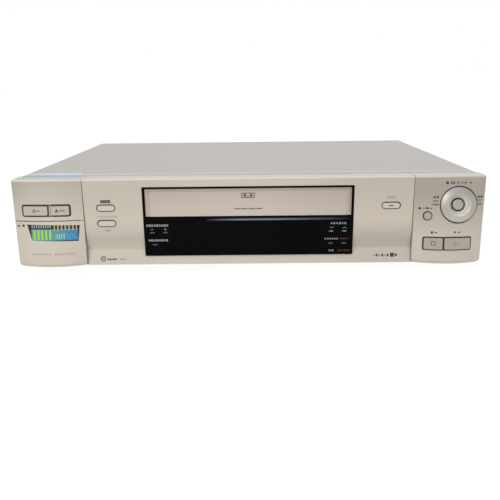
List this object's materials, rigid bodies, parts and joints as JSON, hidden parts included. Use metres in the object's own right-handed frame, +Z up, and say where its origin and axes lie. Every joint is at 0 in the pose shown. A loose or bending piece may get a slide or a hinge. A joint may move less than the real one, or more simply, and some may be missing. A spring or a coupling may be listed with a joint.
{
  "type": "video cassette recorder",
  "caption": "Front-loading video cassette recorder: champagne case with bowed cheeks, dark display window, sprung cassette door, shuttle ring, drop-down jack flap and a full tape deck inside.",
  "frame": {"origin": "on the floor under the centre of the recorder, front to back over its bowed cheeks and rear sockets", "axes": "+X to the right as the user faces the front, +Y to the back, +Z up"},
  "size_m": [0.43, 0.34, 0.09],
  "materials": {
    "cover_paint": "satin champagne-grey paint, fine texture",
    "front_plastic": "champagne moulded plastic, satin",
    "door_plastic": "warm champagne moulded plastic, satin",
    "button_plastic": "champagne moulded plastic, semi-gloss",
    "ring_finish": "satin metallic lacquer on plastic",
    "window_acrylic": "smoked black acrylic, polished",
    "key_plastic": "black moulded plastic",
    "zinc_steel": "zinc-plated sheet steel",
    "rear_paint": "black painted sheet steel",
    "machined_steel": "turned and polished steel",
    "foot_rubber": "black rubber",
    "belt_rubber": "smooth black rubber",
    "board_laminate": "green laminate with solder mask",
    "component_black": "sleeved capacitors and moulded chips",
    "transformer_iron": "varnished iron laminations",
    "tuner_plate": "tin-plated steel can",
    "socket_block": "black moulded block with plated shells",
    "drum_aluminium": "turned and polished aluminium",
    "deck_plastic": "black acetal",
    "gear_plastic": "natural acetal",
    "tube_glass": "dark display glass",
    "motor_can": "plated motor can"
  },
  "bodies": {
    "case": {"board_components": "component_black", "chassis_tray": "zinc_steel", "deck_chassis": "zinc_steel", "display_tube": "tube_glass", "display_window": "window_acrylic", "door_spring": "machined_steel", "drive_belt": "belt_rubber", "front_boards": "board_laminate", "front_panel": "front_plastic", "front_sockets": "socket_block", "left_cheek": "front_plastic", "loading_frame": "zinc_steel", "loading_motor": "motor_can", "lower_drum": "drum_aluminium", "main_board": "board_laminate", "mains_inlet": "socket_block", "power_board": "board_laminate", "rear_panel": "rear_paint", "rear_sockets": "socket_block", "right_cheek": "front_plastic", "rubber_feet": "foot_rubber", "screws": "machined_steel", "tape_heads": "machined_steel", "top_cover": "cover_paint", "transformer": "transformer_iron", "tuner_module": "tuner_plate"},
    "cassette_door": {"cassette_door": "door_plastic"},
    "jack_flap": {"jack_flap": "front_plastic"},
    "power_button": {"power_button": "button_plastic"},
    "eject_button": {"eject_button": "button_plastic"},
    "upper_left_button": {"upper_left_button": "button_plastic"},
    "lower_left_button": {"lower_left_button": "button_plastic"},
    "upper_right_button": {"upper_right_button": "button_plastic"},
    "record_button": {"record_button": "button_plastic"},
    "stop_button": {"stop_button": "button_plastic"},
    "play_button": {"play_button": "button_plastic"},
    "shuttle_ring": {"shuttle_ring": "ring_finish"},
    "pause_button": {"pause_button": "ring_finish"},
    "channel_rocker": {"channel_rocker": "key_plastic"},
    "counter_rocker": {"counter_rocker": "key_plastic"},
    "clock_key": {"clock_key": "key_plastic"},
    "timer_key": {"timer_key": "key_plastic"},
    "speed_key": {"speed_key": "key_plastic"},
    "upper_drum": {"upper_drum": "drum_aluminium"},
    "capstan": {"capstan": "machined_steel"},
    "clutch_wheel": {"clutch_wheel": "deck_plastic"},
    "idler_arm": {"idler_arm": "zinc_steel"},
    "idler_wheel": {"idler_wheel": "belt_rubber"},
    "supply_reel": {"supply_reel": "deck_plastic"},
    "takeup_reel": {"takeup_reel": "deck_plastic"},
    "pinch_arm": {"pinch_arm": "zinc_steel"},
    "pinch_roller": {"pinch_roller": "belt_rubber"},
    "tension_arm": {"tension_arm": "zinc_steel"},
    "supply_guide": {"supply_guide": "machined_steel"},
    "takeup_guide": {"takeup_guide": "machined_steel"},
    "motor_pinion": {"motor_pinion": "gear_plastic"},
    "cam_gear": {"cam_gear": "gear_plastic"},
    "carriage": {"carriage": "zinc_steel"},
    "cassette_holder": {"cassette_holder": "zinc_steel"}
  },
  "joints": [
    {"name": "cassette_door_hinge", "type": "hinge", "parent": "case", "child": "cassette_door", "pos_m": [0, -0.1555, 0.0834], "axis": [1, 0, 0], "range_deg": [0, 90], "stiffness_Nm_per_rad": 0.003, "springref_deg": -17.19},
    {"name": "jack_flap_hinge", "type": "hinge", "parent": "case", "child": "jack_flap", "pos_m": [-0.18, -0.161, 0.0125], "axis": [1, 0, 0], "range_deg": [0, 86]},
    {"name": "power_button_slide", "type": "slide", "parent": "case", "child": "power_button", "axis": [0, 1, 0], "range_m": [0, 0.0008], "stiffness_N_per_m": 600, "springref_m": -0.0008},
    {"name": "eject_button_slide", "type": "slide", "parent": "case", "child": "eject_button", "axis": [0, 1, 0], "range_m": [0, 0.0008], "stiffness_N_per_m": 600, "springref_m": -0.0008},
    {"name": "upper_left_button_slide", "type": "slide", "parent": "case", "child": "upper_left_button", "axis": [0, 1, 0], "range_m": [0, 0.0008], "stiffness_N_per_m": 600, "springref_m": -0.0008},
    {"name": "lower_left_button_slide", "type": "slide", "parent": "case", "child": "lower_left_button", "axis": [0, 1, 0], "range_m": [0, 0.0008], "stiffness_N_per_m": 600, "springref_m": -0.0008},
    {"name": "upper_right_button_slide", "type": "slide", "parent": "case", "child": "upper_right_button", "axis": [0, 1, 0], "range_m": [0, 0.0008], "stiffness_N_per_m": 600, "springref_m": -0.0008},
    {"name": "record_button_slide", "type": "slide", "parent": "case", "child": "record_button", "axis": [0, 1, 0], "range_m": [0, 0.0008], "stiffness_N_per_m": 600, "springref_m": -0.0008},
    {"name": "stop_button_slide", "type": "slide", "parent": "case", "child": "stop_button", "axis": [0, 1, 0], "range_m": [0, 0.0008], "stiffness_N_per_m": 600, "springref_m": -0.0008},
    {"name": "play_button_slide", "type": "slide", "parent": "case", "child": "play_button", "axis": [0, 1, 0], "range_m": [0, 0.0008], "stiffness_N_per_m": 600, "springref_m": -0.0008},
    {"name": "pause_button_slide", "type": "slide", "parent": "case", "child": "pause_button", "axis": [0, 0.9926, -0.1217], "range_m": [0, 0.0008], "stiffness_N_per_m": 600, "springref_m": -0.0008},
    {"name": "shuttle_ring_rock", "type": "hinge", "parent": "case", "child": "shuttle_ring", "pos_m": [0.1903, -0.16347, 0.0632], "axis": [0, 0.1217, 0.9926], "range_deg": [-3, 3], "stiffness_Nm_per_rad": 0.23},
    {"name": "channel_rocker_rock", "type": "hinge", "parent": "case", "child": "channel_rocker", "pos_m": [0.0821, -0.1551, 0.0392], "axis": [0, 0, 1], "range_deg": [-2.5, 2.5], "stiffness_Nm_per_rad": 0.07},
    {"name": "counter_rocker_rock", "type": "hinge", "parent": "case", "child": "counter_rocker", "pos_m": [-0.0826, -0.1551, 0.0392], "axis": [0, 0, 1], "range_deg": [-2.5, 2.5], "stiffness_Nm_per_rad": 0.07},
    {"name": "clock_key_slide", "type": "slide", "parent": "case", "child": "clock_key", "axis": [0, 1, 0], "range_m": [0, 0.0004], "stiffness_N_per_m": 300, "springref_m": -0.0004},
    {"name": "timer_key_slide", "type": "slide", "parent": "case", "child": "timer_key", "axis": [0, 1, 0], "range_m": [0, 0.0004], "stiffness_N_per_m": 300, "springref_m": -0.0004},
    {"name": "speed_key_slide", "type": "slide", "parent": "case", "child": "speed_key", "axis": [0, 1, 0], "range_m": [0, 0.0004], "stiffness_N_per_m": 300, "springref_m": -0.0004},
    {"name": "upper_drum_spin", "type": "hinge", "parent": "case", "child": "upper_drum", "pos_m": [0, 0.038, 0.0325], "axis": [0.0872, 0, 0.9962], "continuous": true},
    {"name": "capstan_spin", "type": "hinge", "parent": "case", "child": "capstan", "pos_m": [0.058, 0.012, 0.0115], "axis": [0, 0, 1], "continuous": true},
    {"name": "clutch_wheel_spin", "type": "hinge", "parent": "case", "child": "clutch_wheel", "pos_m": [0, -0.084, 0.027], "axis": [0, 0, 1], "continuous": true},
    {"name": "idler_arm_swing", "type": "hinge", "parent": "case", "child": "idler_arm", "pos_m": [0, -0.084, 0.0316], "axis": [0, 0, 1], "range_deg": [-50, 50]},
    {"name": "idler_wheel_spin", "type": "hinge", "parent": "idler_arm", "child": "idler_wheel", "pos_m": [0, -0.062, 0.027], "axis": [0, 0, 1], "continuous": true},
    {"name": "supply_reel_spin", "type": "hinge", "parent": "case", "child": "supply_reel", "pos_m": [-0.046, -0.058, 0.027], "axis": [0, 0, 1], "continuous": true},
    {"name": "takeup_reel_spin", "type": "hinge", "parent": "case", "child": "takeup_reel", "pos_m": [0.046, -0.058, 0.027], "axis": [0, 0, 1], "continuous": true},
    {"name": "pinch_arm_swing", "type": "hinge", "parent": "case", "child": "pinch_arm", "pos_m": [0.09, 0.004, 0.028], "axis": [0, 0, 1], "range_deg": [0, 24.5], "stiffness_Nm_per_rad": 0.01, "springref_deg": -17.19},
    {"name": "pinch_roller_spin", "type": "hinge", "parent": "pinch_arm", "child": "pinch_roller", "pos_m": [0.0731, 0.0235, 0.033], "axis": [0, 0, 1], "continuous": true},
    {"name": "tension_arm_swing", "type": "hinge", "parent": "case", "child": "tension_arm", "pos_m": [-0.09, 0.004, 0.028], "axis": [0, 0, 1], "range_deg": [-20, 0], "stiffness_Nm_per_rad": 0.01, "springref_deg": 17.19},
    {"name": "cam_gear_turn", "type": "hinge", "parent": "case", "child": "cam_gear", "pos_m": [-0.074, 0.052, 0.0266], "axis": [0, 0, 1], "range_deg": [0, 172]},
    {"name": "motor_pinion_turn", "type": "hinge", "parent": "case", "child": "motor_pinion", "pos_m": [-0.074, 0.028, 0.0266], "axis": [0, 0, 1], "range_deg": [-690, 0]},
    {"name": "supply_guide_slide", "type": "slide", "parent": "case", "child": "supply_guide", "axis": [-0.2203, 0.9754, 0], "range_m": [0, 0.06356]},
    {"name": "takeup_guide_slide", "type": "slide", "parent": "case", "child": "takeup_guide", "axis": [0.2203, 0.9754, 0], "range_m": [0, 0.06356]},
    {"name": "carriage_slide", "type": "slide", "parent": "case", "child": "carriage", "axis": [0, 1, 0], "range_m": [0, 0.068]},
    {"name": "cassette_holder_slide", "type": "slide", "parent": "carriage", "child": "cassette_holder", "axis": [0, 0, 1], "range_m": [-0.018, 0]}
  ],
  "couplings": [
    {"joint": "motor_pinion_turn", "follows": "cam_gear_turn", "ratio": -4},
    {"joint": "supply_guide_slide", "follows": "cam_gear_turn", "m_per_rad": 0.021173},
    {"joint": "takeup_guide_slide", "follows": "cam_gear_turn", "m_per_rad": 0.021173},
    {"joint": "clutch_wheel_spin", "follows": "capstan_spin", "ratio": 0.57143},
    {"joint": "idler_wheel_spin", "follows": "capstan_spin", "ratio": -0.80635}
  ]
}
